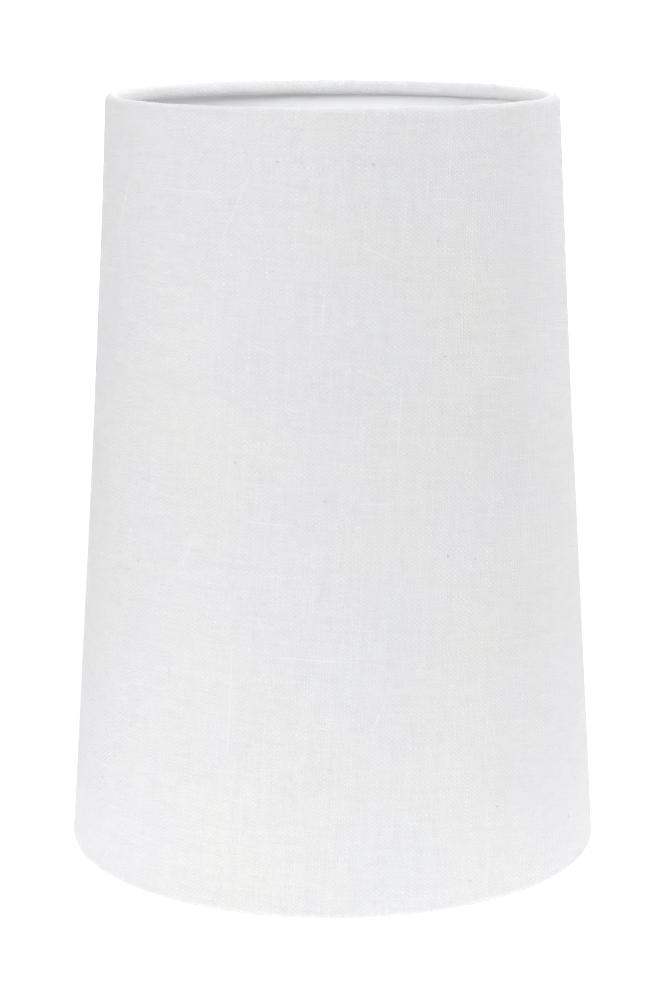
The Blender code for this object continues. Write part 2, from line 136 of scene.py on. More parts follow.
def surface(name, grid, finish, ends="fan", uv=None, sharp=None):
    """A closed skin over a grid of points whose columns close on themselves, or one over each of several.

    ends says how the first and last rows close: "fan" to a point at their middle, "zip" across a folded loop,
    whose two halves face each other, and "loop" onto each other.
    """
    rows, columns = grid.shape[-3:-1]
    grids = grid.reshape(-1, rows, columns, 3)
    points = grids.reshape(-1, 3)
    strips = rows if ends == "loop" else rows - 1
    row, column = np.meshgrid(np.arange(strips), np.arange(columns), indexing="ij")
    next_row, next_column = (row + 1) % rows, (column + 1) % columns
    corners = [(row, column), (row, next_column), (next_row, next_column), (next_row, column)]
    quads = np.stack([r * columns + c for r, c in corners], axis=-1).reshape(-1, 4)
    triangles = np.zeros((0, 3), int)
    if ends == "zip":
        near = np.arange(columns // 2 - 1)
        far = columns - 1 - near
        first = np.stack([near, far, far - 1, near + 1], axis=-1)
        last = first[:, ::-1] + (rows - 1) * columns
        quads = np.concatenate([quads, first, last])
    if ends == "fan":
        around = np.arange(columns)
        following = (around + 1) % columns
        middles = grids[:, [0, -1]].mean(axis=2).reshape(-1, 3)
        start, end = len(points), len(points) + 1
        points = np.concatenate([points, middles])
        shift = (rows - 1) * columns
        first = np.stack([following, around, np.full(columns, start)], axis=-1)
        last = np.stack([around + shift, following + shift, np.full(columns, end)], axis=-1)
        triangles = np.concatenate([first, last])
    copy = np.arange(len(grids))[:, None, None]
    quads = (quads + copy * rows * columns).reshape(-1, 4)
    if len(triangles):
        is_middle = triangles >= rows * columns * len(grids)
        triangles = (triangles + copy * np.where(is_middle, 2, rows * columns)).reshape(-1, 3)
    volume = signed_volume(points, quads)
    if len(triangles):
        volume += signed_volume(points, triangles)
    if volume < 0:
        quads, triangles = quads[:, ::-1], triangles[:, ::-1]
    mesh = bpy.data.meshes.new(name)
    mesh.from_pydata(points, [], quads.tolist() + triangles.tolist())
    if uv is not None:
        layer = mesh.uv_layers.new(name="cloth")
        corner_points = np.empty(len(mesh.loops), np.int32)
        mesh.loops.foreach_get("vertex_index", corner_points)
        layer.data.foreach_set("uv", uv.reshape(-1, 2)[corner_points].astype(np.float32).ravel())
    mesh.materials.append(finish)
    mesh.shade_smooth()
    if sharp:
        mesh.set_sharp_from_angle(angle=math.radians(sharp))
    piece = bpy.data.objects.new(name, mesh)
    bpy.context.scene.collection.objects.link(piece)
    return piece


def fitted(piece, body, slot, *nodes):
    """Puts a piece on its body and hides the CAD nodes that it stands for. Its slot is not used."""
    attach(piece, body)
    if nodes:
        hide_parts(*nodes)
    return piece


def softened(corners, radius, steps=5):
    """A closed outline whose corners are parabolas: each starts and ends a radius away from its corner."""
    corners = np.asarray(corners, float)
    before, after = np.roll(corners, 1, 0) - corners, np.roll(corners, -1, 0) - corners
    before_length = np.linalg.norm(before, axis=1, keepdims=True)
    after_length = np.linalg.norm(after, axis=1, keepdims=True)
    start = corners + before / before_length * np.minimum(radius, before_length * 0.49)
    end = corners + after / after_length * np.minimum(radius, after_length * 0.49)
    share = np.linspace(0, 1, steps)[:, None, None]
    arcs = start * (1 - share) ** 2 + corners * 2 * share * (1 - share) + end * share**2
    return arcs.transpose(1, 0, 2).reshape(-1, 2)


def turned(name, outline, finish, centre=(0, 0, 0), along="Z", steps=128, ends="loop"):
    """An outline of (radius, height) turned about Z: x = r cos a, y = r sin a, z = h. Or the same about X."""
    angle = np.linspace(0, TURN, steps, endpoint=False)
    radius, height = np.asarray(outline, float).T[:, :, None]
    across, over = radius * np.cos(angle), radius * np.sin(angle)
    level = np.broadcast_to(height, across.shape)
    order = (across, over, level) if along == "Z" else (level, across, over)
    return surface(name, np.stack(order, axis=-1) + np.asarray(centre), finish, ends=ends, sharp=50)


def rod(name, path, radius, finish, sides=20, cap_rows=5):
    """A round rod along a path that never runs along Y, with half-round ends.

    The section's two axes are the path's direction crossed with Y, and crossed again.
    """
    path = np.asarray(path, float)
    direction = np.gradient(path, axis=0)
    direction /= np.linalg.norm(direction, axis=1, keepdims=True)
    angle = np.linspace(0, math.pi / 2, cap_rows, endpoint=False)
    reach, narrow = radius * np.cos(angle), np.sin(angle)
    first = path[0] - direction[0] * reach[:, None]
    last = path[-1] + direction[-1] * reach[::-1, None]
    centres = np.concatenate([first, path, last])
    directions = np.pad(direction, ((cap_rows, cap_rows), (0, 0)), mode="edge")
    widths = radius * np.concatenate([narrow, np.ones(len(path)), narrow[::-1]])
    widths = np.maximum(widths, radius * 0.02)
    side = np.cross(directions, [0.0, 1.0, 0.0])
    side /= np.linalg.norm(side, axis=1, keepdims=True)
    other = np.cross(directions, side)
    turn = np.linspace(0, TURN, sides, endpoint=False)[None, :, None]
    section = side[:, None] * np.cos(turn) + other[:, None] * np.sin(turn)
    return surface(name, centres[:, None] + widths[:, None, None] * section, finish)


def bead(name, centre, size, finish, seed=0):
    """A weld bead: an ellipsoid whose radius has a few soft lumps."""
    rows, columns = 14, 24
    tilt = np.linspace(0, math.pi, rows + 2)[1:-1, None]
    turn = np.linspace(0, TURN, columns, endpoint=False)[None, :]
    lumps = 1 + 0.07 * waves(seed, 3, turn, tilt, (2, 4), (1.0, 2.5)) * np.sin(tilt)
    shape = [np.sin(tilt) * np.cos(turn), np.sin(tilt) * np.sin(turn), np.cos(tilt) + 0 * turn]
    reach = np.stack(shape, axis=-1) * lumps[..., None] * np.asarray(size) / 2
    return surface(name, np.asarray(centre) + reach, finish)


def pressed_plate(name, outline, hole, inside, outside, finish, edge=0.25 * MM):
    """A flat plate facing along X with softened edges, from (Y, Z) loops of equal length, its rim and hole.

    The section goes from the hole's wall over the face to the rim and back over the other face.
    """
    outline, hole = np.asarray(outline, float), np.asarray(hole, float)
    inward = hole - outline
    inward /= np.linalg.norm(inward, axis=1, keepdims=True)
    low, high = min(inside, outside), max(inside, outside)
    bevel = edge * (1 - math.sqrt(0.5))
    section = [
        (hole - inward * edge, low),
        (hole - inward * bevel, low + bevel),
        (hole, low + edge),
        (hole, high - edge),
        (hole - inward * bevel, high - bevel),
        (hole - inward * edge, high),
        (outline + inward * edge, high),
        (outline + inward * bevel, high - bevel),
        (outline, high - edge),
        (outline, low + edge),
        (outline + inward * bevel, low + bevel),
        (outline + inward * edge, low),
    ]
    rows = [np.column_stack([np.full(len(loop), level), loop]) for loop, level in section]
    return surface(name, np.stack(rows), finish, ends="loop", sharp=40)


# ---------------------------------------------------------------- finishes


class Signal:
    """A value in a material. Arithmetic on it adds Math nodes."""

    def __init__(self, finish, socket):
        self.finish = finish
        self.socket = socket

    def math(self, operation, *values):
        return self.finish.node("ShaderNodeMath", {"operation": operation}, dict(enumerate(values)))

    def __add__(self, other):
        return self.math("ADD", self, other)

    def __sub__(self, other):
        return self.math("SUBTRACT", self, other)

    def __rsub__(self, other):
        return self.math("SUBTRACT", other, self)

    def __mul__(self, other):
        return self.math("MULTIPLY", self, other)

    def __pow__(self, other):
        return self.math("POWER", self, other)

    def __gt__(self, other):
        return self.math("GREATER_THAN", self, other)

    __radd__ = __add__
    __rmul__ = __mul__

    def floor(self):
        return self.math("FLOOR", self)

    def sine(self):
        return self.math("SINE", self)

    def size(self):
        return self.math("ABSOLUTE", self)

    def sign(self):
        return self.math("SIGN", self)

    def most(self, other):
        return self.math("MAXIMUM", self, other)

    def step(self, low, high):
        """0 below low, 1 above high, and smooth between."""
        settings = {"interpolation_type": "SMOOTHSTEP"}
        inputs = {"Value": self, "From Min": low, "From Max": high}
        return self.finish.node("ShaderNodeMapRange", settings, inputs)


class Finish:
    """A material with a Principled surface, built from signals."""

    def __init__(self, name, **sockets):
        self.material = bpy.data.materials.new(name)
        self.material.use_nodes = True
        self.tree = self.material.node_tree
        self.surface = self.tree.nodes["Principled BSDF"]
        for socket, value in sockets.items():
            self.set(socket.replace("_", " "), value)

    def node(self, kind, settings, inputs, output=0):
        """Adds a node, first its settings and then its inputs' values or links, and returns an output."""
        made = self.tree.nodes.new(kind)
        for setting, value in settings.items():
            setattr(made, setting, value)
        for socket, value in inputs.items():
            self.feed(made.inputs[socket], value)
        return Signal(self, made.outputs[output])

    def feed(self, socket, value):
        if isinstance(value, Signal):
            self.tree.links.new(value.socket, socket)
        elif hasattr(value, "__len__") and socket.type == "RGBA":
            socket.default_value = (*value, 1.0)
        else:
            socket.default_value = value

    def set(self, socket, value):
        self.feed(self.surface.inputs[socket], value)

    def place(self):
        """The Object coordinates."""
        return self.node("ShaderNodeTexCoord", {}, {}, "Object")

    def axes(self, vector):
        """A vector's X, Y and Z."""
        split = self.node("ShaderNodeSeparateXYZ", {}, {0: vector})
        return [Signal(self, split.socket.node.outputs[index]) for index in range(3)]

    def point(self, x, y, z=0.0):
        return self.node("ShaderNodeCombineXYZ", {}, {0: x, 1: y, 2: z})

    def noise(self, vector, scale=1.0, detail=2.0, roughness=0.5, flat=False):
        settings = {"noise_dimensions": "2D" if flat else "3D"}
        inputs = {"Vector": vector, "Scale": scale, "Detail": detail, "Roughness": roughness}
        return self.node("ShaderNodeTexNoise", settings, inputs)

    def chance(self, vector):
        """An unrelated value from 0 to 1 for each whole X and Y."""
        return self.node("ShaderNodeTexWhiteNoise", {"noise_dimensions": "2D"}, {"Vector": vector})

    def mixed(self, share, first, second):
        """A colour between two colours."""
        return self.node("ShaderNodeMix", {"data_type": "RGBA"}, {0: share, 6: first, 7: second}, 2)

    def scaled(self, colour, share):
        """A colour made lighter or darker."""
        return self.node("ShaderNodeVectorMath", {"operation": "SCALE"}, {0: colour, "Scale": share})

    def bump(self, height, distance, strength=1.0):
        inputs = {"Strength": strength, "Distance": distance, "Height": height}
        self.set("Normal", self.node("ShaderNodeBump", {}, inputs))


CREST_PAINTED_HIGHLIGHT = 0.05  # painted highlight: how much lighter the cloth is painted on the crest of the top hem
TURNED_IN_PAINTED_LIGHT = 0.18  # painted light: how much lighter the top hem's turned-in cloth is painted, for the light inside the shade
WEAVE_OFFSET = 4000  # keeps the thread counts above zero


def linen():
    """Plain-woven linen, in the flat cloth's own coordinates.

    Warp and weft are counted in threads. A thread's height is a sine across it to the power 0.7, times a
    wave along it that puts it over one crossing thread and under the next; the higher thread shows. Slow
    noise makes threads wander, swell and change tone, and a rare crossing holds a dark or light speck. The
    colour also carries painted shade: thread crowns and warp-over cells are painted lighter, the gaps darker.
    In the top hem the cloth is painted lighter: a painted highlight on its crest, and painted light on its
    turned-in inner side.
    """
    nap = {"Sheen_Weight": 0.12, "Sheen_Roughness": 0.6}
    finish = Finish("linen", Roughness=0.93, Specular_IOR_Level=0.25, **nap)
    x, y, _ = finish.axes(finish.node("ShaderNodeUVMap", {"uv_map": "cloth"}, {}))
    fine = 1 / MM
    drift_u = finish.noise(finish.point(x * (fine / 5), y * (fine / 26)), detail=2, flat=True) - 0.5
    drift_v = finish.noise(finish.point(x * (fine / 22), y * (fine / 3.5) + 31.7), detail=2, flat=True) - 0.5
    u = x * (1 / WARP_PITCH) + WEAVE_OFFSET + drift_u * 1.5
    v = y * (1 / WEFT_PITCH) + WEAVE_OFFSET + drift_v * 1.7
    warp, weft = u.floor(), v.floor()
    p, q = (u * math.pi).sine(), (v * math.pi).sine()

    warp_run = finish.noise(finish.point(warp * 7.13, y * (fine / 9)), detail=2, flat=True)
    weft_run = finish.noise(finish.point(x * (fine / 11), weft * 5.37), detail=2, flat=True)
    warp_body = warp_run.step(0.2, 0.8) * 0.5 + 0.65
    weft_body = weft_run.step(0.2, 0.8) * 0.6 + 0.65
    warp_height = p.size() ** 0.7 * (p.sign() * q * 0.5 + 0.5) * warp_body
    weft_height = q.size() ** 0.7 * (p * q.sign() * -0.5 + 0.5) * weft_body * 0.6
    height = warp_height.most(weft_height)

    crossing = finish.chance(finish.point(warp, weft))
    dark, light = crossing > 0.9997, (1 - crossing) > 0.9995
    warp_tone = finish.chance(finish.point(warp, 3.0)) - 0.5
    weft_tone = finish.chance(finish.point(11.0, weft)) - 0.5
    over = warp_height > weft_height
    # Painted shade in the weave: p * q paints the warp-over cells lighter than the weft-over ones.
    tone = weft_tone * 0.02 + (weft_run - 0.5) * 0.05 + p * q * 0.036
    tone = tone + over * (warp_tone * 0.02 - weft_tone * 0.02)
    patches = finish.noise(finish.point(x, y), scale=26, detail=3, flat=True)
    # Painted shade: height * 0.06 paints the thread crowns lighter and the gaps between threads darker; the
    # rest is the cloth's own tone, patches and specks.
    shade = height * 0.06 + 0.94 + tone + (patches - 0.5) * 0.03 - dark * 0.20 + light * 0.06

    warm = finish.noise(finish.point(x + 3.7, y), scale=14, detail=2, flat=True).step(0.45, 0.75)
    thread_warm = weft_run.step(0.55, 0.8)
    colour = finish.mixed(warm * 0.6 + thread_warm * 0.4, (0.722, 0.722, 0.738), (0.738, 0.730, 0.718))
    wide, deep, tall = finish.axes(finish.place())
    radius = (wide * wide + deep * deep) ** 0.5
    # Painted light: a painted highlight on the top hem's crest, and the turned-in cloth inside the top ring
    # painted lighter for the light inside the shade.
    crest = tall.step(TOP_HEIGHT + 0.4 * MM, TOP_HEIGHT + 1.9 * MM)
    outside = radius.step(TOP_RADIUS - 0.6 * MM, TOP_RADIUS + 0.4 * MM)
    lighter = crest * outside * CREST_PAINTED_HIGHLIGHT + (1 - outside) * TURNED_IN_PAINTED_LIGHT
    finish.set("Base Color", finish.scaled(colour, shade * (1 + lighter)))
    finish.bump(height, 0.26 * MM)
    return finish.material


def linen_yarn():
    """Loose linen yarn, for slubs, knots and lint: the cloth's colours, with fine fibres along and across."""
    finish = Finish("linen_yarn", Roughness=0.93, Specular_IOR_Level=0.2)
    fibres = finish.noise(finish.place(), scale=2500, detail=3)
    finish.set("Base Color", finish.mixed(fibres, (0.71, 0.71, 0.72), (0.76, 0.755, 0.75)))
    finish.bump(fibres, 0.05 * MM)
    return finish.material


def dust_grey():
    """Specks of dust: mottled grey."""
    finish = Finish("dust_grey", Roughness=0.9)
    mottle = finish.noise(finish.place(), scale=3000, detail=2)
    finish.set("Base Color", finish.mixed(mottle, (0.34, 0.33, 0.32), (0.50, 0.49, 0.47)))
    return finish.material


def styrene():
    """The liner: smooth white sheet with the faintest rolling marks and a soft, uneven gloss."""
    finish = Finish("liner", Specular_IOR_Level=0.4)
    place = finish.place()
    x, y, z = finish.axes(place)
    clouds = finish.noise(place, scale=30, detail=3)
    lines = finish.noise(finish.point(x * 900, y * 900, z * 12), detail=1)
    finish.set("Base Color", finish.mixed(clouds, (0.91, 0.915, 0.93), (0.93, 0.93, 0.935)))
    finish.set("Roughness", clouds * 0.12 + 0.38)
    finish.bump(lines * 0.4 + clouds, 0.05 * MM)
    return finish.material


def tape():
    """Yellowish adhesive film with a faint haze."""
    finish = Finish("tape", Roughness=0.45)
    haze = finish.noise(finish.place(), scale=220, detail=3)
    finish.set("Base Color", finish.mixed(haze, (0.72, 0.68, 0.55), (0.80, 0.77, 0.66)))
    finish.bump(haze, 0.03 * MM)
    return finish.material


def coated_steel():
    """White powder coat: fine orange peel, its colour a little darker where the peel dips, and a warmer tone in
    patches.
    """
    finish = Finish("coated_steel", Specular_IOR_Level=0.5, Coat_Weight=0.15, Coat_Roughness=0.25)
    place = finish.place()
    peel = finish.noise(place, scale=1400, detail=1)
    patches = finish.noise(place, scale=45, detail=3)
    colour = finish.mixed(patches.step(0.35, 0.7), (0.80, 0.80, 0.79), (0.84, 0.84, 0.83))
    # The colour follows the peel: up to 2.5 per cent darker where it dips.
    finish.set("Base Color", finish.scaled(colour, peel * 0.05 + 0.975))
    finish.set("Roughness", patches * 0.15 + 0.30)
    finish.bump(peel, 0.04 * MM)
    return finish.material


def zinc():
    """Zinc plate on the rivets: a bright bluish metal with fine crystals and handling marks."""
    finish = Finish("rivet_steel", Metallic=1.0)
    place = finish.place()
    crystals = finish.node("ShaderNodeTexVoronoi", {}, {"Vector": place, "Scale": 1500.0}, "Distance")
    marks = finish.noise(place, scale=600, detail=3)
    finish.set("Base Color", finish.mixed(marks, (0.56, 0.57, 0.59), (0.70, 0.70, 0.70)))
    finish.set("Roughness", crystals * 0.2 + 0.24)
    finish.bump(marks, 0.02 * MM)
    return finish.material


def fibre():
    """Vulcanised fibre: brown, dull, with pressed strands."""
    finish = Finish("fibre", Roughness=0.85)
    x, y, z = finish.axes(finish.place())
    strands = finish.noise(finish.point(x * 900, y * 3500, z * 900), detail=3)
    finish.set("Base Color", finish.mixed(strands, (0.20, 0.13, 0.09), (0.42, 0.31, 0.22)))
    finish.bump(strands, 0.05 * MM)
    return finish.material


def moulded_plastic():
    """The reducer: white moulded plastic with a fine spark finish and soft flow marks."""
    finish = Finish("plastic", Specular_IOR_Level=0.5)
    place = finish.place()
    spark = finish.noise(place, scale=2600, detail=2)
    flow = finish.noise(place, scale=60, detail=2)
    finish.set("Base Color", finish.mixed(flow, (0.83, 0.83, 0.82), (0.87, 0.87, 0.865)))
    finish.set("Roughness", spark * 0.16 + 0.34)
    finish.bump(spark, 0.03 * MM)
    return finish.material


# ---------------------------------------------------------------- the cloth and the liner


def climb(around):
    """How far the outer end stands out: it climbs by a smooth step just before the panel's start."""
    return LIFT * smooth((around - (TURN - RISE)) / RISE)


def bow(around, up):
    """How far a wall bows in: a parabola of the height, deeper on the left."""
    share = up / WALL
    return -(WAIST - WAIST_LEAN * np.sin(SEAM - around)) * 4 * share * (1 - share)


def dents(around, up):
    """Shallow dents, that die away near the hems."""
    depth = 0.10 * MM * waves(5, 7, around, up, (3, 13), (0.09, 0.30))
    return depth * smooth(np.minimum(up, WALL - up) / DENTS_FADE)


def crease(around, down):
    """One crease that runs down from the top hem: a bell curve across a leaning line, which fades below."""
    off_line = np.angle(np.exp(1j * (SEAM - around - CREASE))) * TOP_RADIUS - 0.35 * down
    fades = smooth(1 - (down - 1 * MM) / (8 * MM)) * smooth(down / (1.5 * MM) + 0.3)
    return 0.30 * MM * np.exp(-((off_line / (1.1 * MM)) ** 2)) * fades


def shape_of_wall(around, up):
    """How far the wall's cloth stands out from a straight wall behind the hems.

    It bows in, tucks in behind each hem, and has dents, one crease, and puckers near the hems that die away
    with distance.
    """
    from_hem = np.minimum(up, WALL - up)
    tuck = -TUCK * smooth(from_hem / TUCK_LENGTH)
    pucker = 0.07 * MM * waves(6, 9, around, up, (26, 70), (0.02, 0.06)) * np.exp(-from_hem / PUCKER_FADE)
    return bow(around, up) + tuck + dents(around, up) + pucker + crease(around, WALL - up)


def on_wall(around, up, away):
    """Points of the wall: a distance up it from the bottom hem, and away from the line between the rings."""
    azimuth = SEAM - around
    radius = BOTTOM_RADIUS - up * math.sin(LEAN) + away * math.cos(LEAN)
    height = BOTTOM_HEIGHT + up * math.cos(LEAN) + away * math.sin(LEAN)
    return np.stack([radius * np.sin(azimuth), -radius * np.cos(azimuth), height], axis=-1)


def round_hem(around, angle, away, ring, up):
    """Points round a ring's wire: an angle from the wall outwards, over the hem and in, at a distance."""
    azimuth = SEAM - around
    radius = ring[0] + away * np.cos(angle)
    height = ring[1] + up * away * np.sin(angle)
    return np.stack([radius * np.sin(azimuth), -radius * np.cos(azimuth), height], axis=-1)


def flat_cloth(around, fan):
    """The flat cloth's coordinates: x = l sin t and y = l cos t, less the wall's lower end. l is the distance
    from the fan's point, and t the azimuth from the grain line times the cone's sine.
    """
    turn = (SEAM - around - GRAIN) * CONE
    return np.stack([fan * np.sin(turn), fan * np.cos(turn) - FAN_BOTTOM], axis=-1)


def panel_columns():
    """Angles past the panel's start, closer together at the seam."""
    end = TURN + LAP
    slit = 8 * MM / BOTTOM_RADIUS
    cuts = [SEAM - math.pi / 2, SEAM + math.pi / 2]
    bounds = [LAP, cuts[0] - slit, cuts[0] + slit, cuts[1] - slit, cuts[1] + slit, TURN - RISE]
    counts = [50, 26, 188, 26, 108]
    runs = [
        np.linspace(0, LAP, 10, endpoint=False),
        *(np.linspace(*ends, count, endpoint=False) for *ends, count in zip(bounds, bounds[1:], counts)),
        np.linspace(TURN - RISE, TURN, 22, endpoint=False),
        np.linspace(TURN, end - 0.02, 14, endpoint=False),
        end - 0.02 * (1 - np.linspace(0, 1, 8)) ** 2,
    ]
    return np.concatenate(runs)


HEM_ROWS = 19
WALL_ROWS = 56


def wall_rows():
    """Distances up the wall, from the top hem down, closer together near the hems."""
    share = np.linspace(0, 1, WALL_ROWS + 2)[1:-1]
    return WALL * (1 - (share - 0.12 * np.sin(TURN * share)))


def cloth_skin(around, depth):
    """One face of the cloth, from the tip of the top hem over the ring, down the wall and round the bottom
    ring, as a grid with a row for each angle past the panel's start. It also returns each point's distance
    from the flat fan's point.
    """
    around = around[:, None]
    lift = climb(around)
    under = smooth(1 - (around - LAP) / 0.05)  # the inner end's hems lie under the outer end's
    gather = 0.06 * MM * waves(11, 8, around, 0.0, (60, 150), (1.0, 2.0))
    rows, fans = [], []
    for ring, up, seed in (((TOP_RADIUS, TOP_HEIGHT), 1, 21), ((BOTTOM_RADIUS, BOTTOM_HEIGHT), -1, 22)):
        lean = LEAN * up
        tip = HEM_TIP + math.radians(7) * waves(seed, 6, around, 0.0, (5, 31), (1.0, 2.0))
        if up < 0:
            aside = np.abs(np.angle(np.exp(2j * (SEAM - around - math.pi / 2)))) / 2 * BOTTOM_RADIUS
            tip = SLIT_TIP + (tip - SLIT_TIP) * smooth((aside - SLIT) / (0.8 * MM))
        share = np.linspace(1, 0, HEM_ROWS)[None, :]
        angle = lean + (tip - lean) * share
        roll = ROLL + 0.06 * MM * waves(seed + 2, 7, around, angle * 0.01, (9, 60), (0.02, 0.09))
        roll = roll - HEM_SINK * under + HEM_LIFT * lift * smooth((math.radians(200) - angle) / 1.0)
        roll = roll + HEM_SAG * smooth((angle - math.radians(170)) / math.radians(90))
        roll = np.minimum(roll, np.where(np.sin(angle) > 0.8, ROLL, roll)) if up < 0 else roll
        inner = np.maximum(0, -np.cos(angle))
        hem = round_hem(around, angle, roll - depth + gather * inner, ring, up)
        slant = (ring[0] + ROLL) / CONE - up * ROLL * (angle - lean)
        rows.append(hem)
        fans.append(slant)
    up_wall = wall_rows()[None, :]
    at_hem = np.exp(-np.minimum(up_wall, WALL - up_wall) / (4 * MM))
    sunk = HEM_SINK * under * at_hem
    stand_out = shape_of_wall(around, up_wall) + lift * (1 + (HEM_LIFT - 1) * at_hem) - sunk
    away = ROLL + stand_out - depth
    wall = on_wall(around, up_wall, away)
    wall_fan = FAN_BOTTOM - up_wall + 0 * around
    grid = np.concatenate([rows[0], wall, rows[1][:, ::-1]], axis=1)
    fan = np.concatenate([fans[0], wall_fan, fans[1][:, ::-1]], axis=1)
    return grid, fan


def linen_cover(finish):
    """The cloth panel: two skins joined at their edges. Its outer end thickens to a fold and rounds off."""
    around = panel_columns()
    to_end = (around[-1] - around) * BOTTOM_RADIUS
    thick = CLOTH + (FOLD - CLOTH) * smooth(1 - to_end / (1.6 * MM))
    nose = FOLD / 2
    reach = np.clip(1 - to_end / nose, 0, 1)
    round_off = nose * (1 - np.sqrt(1 - reach**2)) * 0.85
    outer, fan = cloth_skin(around, round_off[:, None])
    inner, _ = cloth_skin(around, (thick - round_off)[:, None])
    grid = np.concatenate([outer, inner[:, ::-1]], axis=1)
    uv = flat_cloth(around[:, None], fan)
    uv = np.concatenate([uv, uv[:, ::-1]], axis=1)
    piece = surface("linen_cover_cloth", grid, finish, ends="zip", uv=uv)
    return piece, uv


# Flaws that catch the eye, by azimuth in degrees, height and length in millimetres: slubs along the weft,
# thick places along the warp, knots, lint, and dust, which has no length.
SLUBS = ((-36, 253, 26), (-15, 140.5, 20), (9, 147.5, 13), (-3, 93, 32), (28, 250.5, 14), (40, 188, 12))
THICK_WARPS = ((-22.3, 75, 44), (15, 176, 30), (-2, 215, 18))
KNOTS = ((-1.2, 104.5, 1.3), (11.5, 115, 0.9), (-16, 151, 0.9), (4, 3.6, 1.0), (33, 236, 0.8), (1, 192, 0.7))
LINT = ((-8, 43.5, 7), (52, 120, 6), (-52, 205, 5))
DUST = ((2.2, 126.6), (-13.8, 72), (71, 160), (29, 223), (-60, 88), (120, 140), (-150, 230))


def yarns(name, places, radius, finish, along="weft", curl=0.0, seed=0, shape=(17, 10), ripple=0.25):
    """Spindles of yarn on the wall: each runs along a thread's line in the flat cloth, its radius is the
    root of 1 - s^2 with soft lumps, and it is pressed flat to 0.7 of its width. A curl bends it across its run.
    """
    places = np.asarray(places, float)
    chance = np.random.default_rng(seed)
    share = np.sin(np.linspace(-1, 1, shape[0]) * math.pi / 2 * 0.985)[None, :, None]
    turn = np.linspace(0, TURN, shape[1], endpoint=False)[None, None, :]
    azimuth, height, length = (column[:, None, None] for column in places.T)
    azimuth, reach = np.radians(azimuth), length * MM / 2 * share
    up = (height * MM - BOTTOM_HEIGHT) / math.cos(LEAN)
    around_radius = BOTTOM_RADIUS - up * math.sin(LEAN)
    phase = chance.uniform(0, TURN, (2, len(places), 1, 1))
    bend = curl * np.sin(share * 2.6 + phase[0]) * MM + 0.06 * MM * np.sin(share * 7 + phase[1])
    lumps = 1 + ripple * np.sin(share * 9 + phase[0]) * np.sin(share * 4 + phase[1])
    width = radius * np.sqrt(np.maximum(1 - share**2, 0.004)) * lumps
    slope = np.tan((azimuth - GRAIN) * CONE)
    across = bend + width * np.sin(turn)
    if along == "weft":
        azimuth, up = azimuth + reach / around_radius, up - slope * reach + across
    else:
        azimuth, up = azimuth + (slope * reach + across) / around_radius, up + reach
    around = (SEAM - azimuth) % TURN
    up = np.clip(up, 0, WALL)
    away = ROLL + shape_of_wall(around, up) - 0.08 * MM + width * 0.7 * np.cos(turn)
    return fitted(surface(name, on_wall(around, up, away), finish), "shade", "linen", "linen_cover")


def scattered(seed, count, shortest, longest):
    """Places all over the wall, clear of the lap: azimuth, height and length."""
    chance = np.random.default_rng(seed)
    azimuth = math.degrees(SEAM) + chance.uniform(10, 340, count)
    height, length = chance.uniform(12, 270, count), chance.uniform(shortest, longest, count)
    return np.column_stack([azimuth, height, length])


def strip(around, up, away, thickness):
    """A sheet that lies on the wall: its outer face, and its inner face on the way back."""
    return np.concatenate([on_wall(around, up, away), on_wall(around, up, away - thickness)[:, ::-1]], axis=1)


def liner_sheet(finish):
    """The liner: a smooth wall from ring to ring, which follows the panel and stops inside its fold."""
    end = TURN + LAP - 1.2 * MM / BOTTOM_RADIUS
    around = np.concatenate([
        np.linspace(0, TURN - RISE, 300, endpoint=False),
        np.linspace(TURN - RISE, TURN, 20, endpoint=False),
        np.linspace(TURN, end, 12),
    ])[:, None]
    up = np.linspace(0, WALL, 40)[None, :]
    outer_face = ROLL - TUCK - CLOTH - 0.02 * MM
    away = outer_face + bow(around, up) + dents(around, up) + climb(around)
    return surface("liner_sheet", strip(around, up, away, LINER), finish, ends="zip", sharp=50)


def seam_tape(finish):
    """The adhesive strip in the lap, between the inner end's cloth and the outer end's liner."""
    around = np.linspace(TURN + 0.012, TURN + LAP - 0.022, 10)[:, None]
    up = np.linspace(6 * MM, WALL - 6 * MM, 30)[None, :]
    away = ROLL + shape_of_wall(around, up) + 0.06 * MM
    return surface("seam_tape_strip", strip(around, up, away, 0.04 * MM), finish, ends="zip")


# ---------------------------------------------------------------- rings and fitter


def wire_ring(name, radius, height, finish):
    """A ring of round wire: a circle turned about Z."""
    angle = np.linspace(0, TURN, 16, endpoint=False)
    outline = np.column_stack([radius + RING_WIRE * np.cos(angle), height + RING_WIRE * np.sin(angle)])
    return turned(name, outline, finish, steps=256)


def even(loop, count=160):
    """A closed outline with its points moved to equal steps along it."""
    closed = np.vstack([loop, loop[:1]])
    run = np.concatenate([[0], np.cumsum(np.linalg.norm(np.diff(closed, axis=0), axis=1))])
    steps = np.linspace(0, run[-1], count, endpoint=False)
    return np.column_stack([np.interp(steps, run, closed[:, axis]) for axis in (0, 1)])


